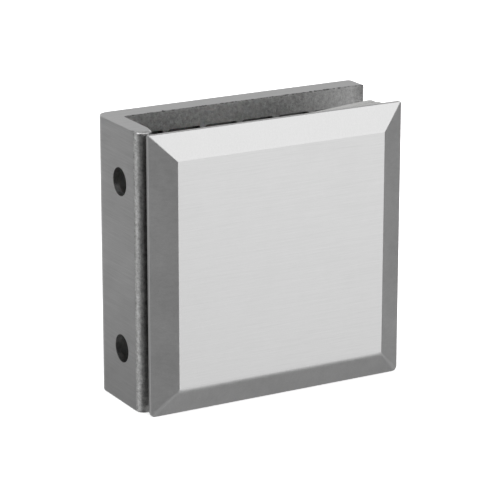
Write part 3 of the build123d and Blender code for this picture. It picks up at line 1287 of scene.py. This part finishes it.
# %% [markdown]
# The pads. Two sheets of soft rubber lie together behind the front plate, loose on the sleeves and
# a little askew, so that their top corners peep out one behind the other. Each is die-cut: its faces
# are flat but for a slow wave, and the press has drawn its edges in at the middle. The outline and
# the two holes are filled with triangles, and rows of points down the edge join both faces.

# %% Measures of a pad
PAD_LEG_SIDE = 5.3
PAD_FREE_SIDE = 49.45
PAD_HEIGHT = 46.3
PAD_CORNER = 2.0
PAD_HOLE_RADIUS = 8.5
PAD_GRID = 1.6
PAD_EDGE = 0.16
PAD_WAIST = 0.05
PAD_WAVE, PAD_WAVE_RATE = 0.05, 0.11
OFF_THE_PLATE = 0.01
ROUND_STEPS = 48
PAD_TURNS = {"front": (3.0, (0.6, 0.65)), "rear": (4.1, (0.5, 0.3))}


# %% The outline of a pad
def arc(centre, radius, start, end, steps, outward=1):
    """Points and normals along an arc in the plane of a pad, between two angles in degrees."""
    found = []
    for k in range(steps):
        angle = math.radians(start + (end - start) * k / steps)
        normal = Vector((math.cos(angle), math.sin(angle)))
        found.append((Vector(centre) + normal * radius, normal * outward))
    return found


def pad_loops():
    """The pad's closed edges, seen from the front about the middle between the screws."""
    left, right = PAD_LEG_SIDE - screw_x + PAD_CORNER, PAD_FREE_SIDE - screw_x - PAD_CORNER
    high = PAD_HEIGHT / 2 - PAD_CORNER
    outer = []
    for quarter, (x, z) in enumerate(((right, high), (left, high), (left, -high), (right, -high))):
        outer += arc((x, z), PAD_CORNER, 90 * quarter, 90 * (quarter + 1), ARC_STEPS)
        outer += arc((x, z), PAD_CORNER, 90 * (quarter + 1), 90 * (quarter + 2), 1)
    holes = [arc((0, side * screw_z), PAD_HOLE_RADIUS, 0, -360, ROUND_STEPS, -1) for side in (1, -1)]
    return [outer] + holes


def in_pad(place, margin):
    """Whether a place is on the pad, at least a margin from its edges."""
    x, z = place
    inside = PAD_LEG_SIDE - screw_x + margin < x < PAD_FREE_SIDE - screw_x - margin
    inside = inside and abs(z) < PAD_HEIGHT / 2 - margin
    return inside and math.hypot(x, abs(z) - screw_z) > PAD_HOLE_RADIUS + margin


# %% [markdown]
# Filling and placing a pad. A constrained triangulation takes the edges of one face and a loose grid
# of points between them. The other face is the same net, turned over. The pads share one slow wave,
# so that they lie on each other without cutting through.

# %% One face of a pad
SAME_POINT = 1e-5
WELL_IN = 0.9


def pad_face(loops):
    """Flat points and triangles of one face, whose edges are drawn in by the rounding."""
    points, edges = [], []
    for loop in loops:
        first = len(points)
        points += [point - normal * PAD_EDGE for point, normal in loop]
        edges += [(first + k, first + (k + 1) % len(loop)) for k in range(len(loop))]
    columns = evenly(PAD_LEG_SIDE - screw_x, PAD_FREE_SIDE - screw_x, PAD_GRID)
    rows = evenly(-PAD_HEIGHT / 2, PAD_HEIGHT / 2, PAD_GRID)
    points += [Vector((x, z)) for x in columns for z in rows if in_pad((x, z), PAD_GRID / 2)]
    flat, _, triangles, *_ = geometry.delaunay_2d_cdt(points, edges, [], 0, SAME_POINT)
    kept = []
    for triangle in triangles:
        middle = sum((flat[k] for k in triangle), Vector((0, 0))) / 3
        if in_pad(middle, PAD_EDGE * WELL_IN):
            kept.append(triangle)
    return flat, kept


# %% A whole pad
def make_pad(name, node, turn, shift):
    """A pad in the place of its node, turned by degrees and shifted sideways and up."""
    low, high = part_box(node)
    front_y, thickness = low.y / MM + OFF_THE_PLATE, (high.y - low.y) / MM - PAD_WAVE
    loops = pad_loops()
    flat, triangles = pad_face(loops)
    lean = Matrix.Rotation(math.radians(turn), 2)

    def at(place, depth):
        x, z = lean @ Vector(place) + Vector(shift)
        wave = PAD_WAVE * (0.5 + 0.5 * noise.noise(Vector((x, 0, z)) * PAD_WAVE_RATE))
        return (screw_x + x, front_y + depth + wave, z)

    points = [at(place, 0.0) for place in flat] + [at(place, thickness) for place in flat]
    faces = [tuple(t) for t in triangles]
    faces += [tuple(k + len(flat) for k in reversed(t)) for t in triangles]
    rows = [(PAD_EDGE, 0.0), (PAD_EDGE * ARC_MIDDLE, PAD_EDGE * ARC_MIDDLE), (0.0, PAD_EDGE)]
    rows.append((PAD_WAIST, thickness / 2))
    rows += [(inset, thickness - depth) for inset, depth in reversed(rows[:3])]
    for loop in loops:
        walls = [[at(point - normal * inset, depth) for point, normal in loop] for inset, depth in rows]
        first = len(points)
        wall_points, wall_faces = stack(walls)
        points += wall_points
        faces += [tuple(first + k for k in face) for face in wall_faces[:-2]]
    return finish_mesh(name, points, faces)


# %% Both pads
for name, (turn, shift) in PAD_TURNS.items():
    pad = make_pad("rubber_pad_" + name, "glass_pad_" + name, turn, shift)
    pad.data.materials.append(pad_rubber)
    soften(pad, smooth_angle=50.0)
    dress(pad, "front", "grey_pad", "glass_pad_" + name)
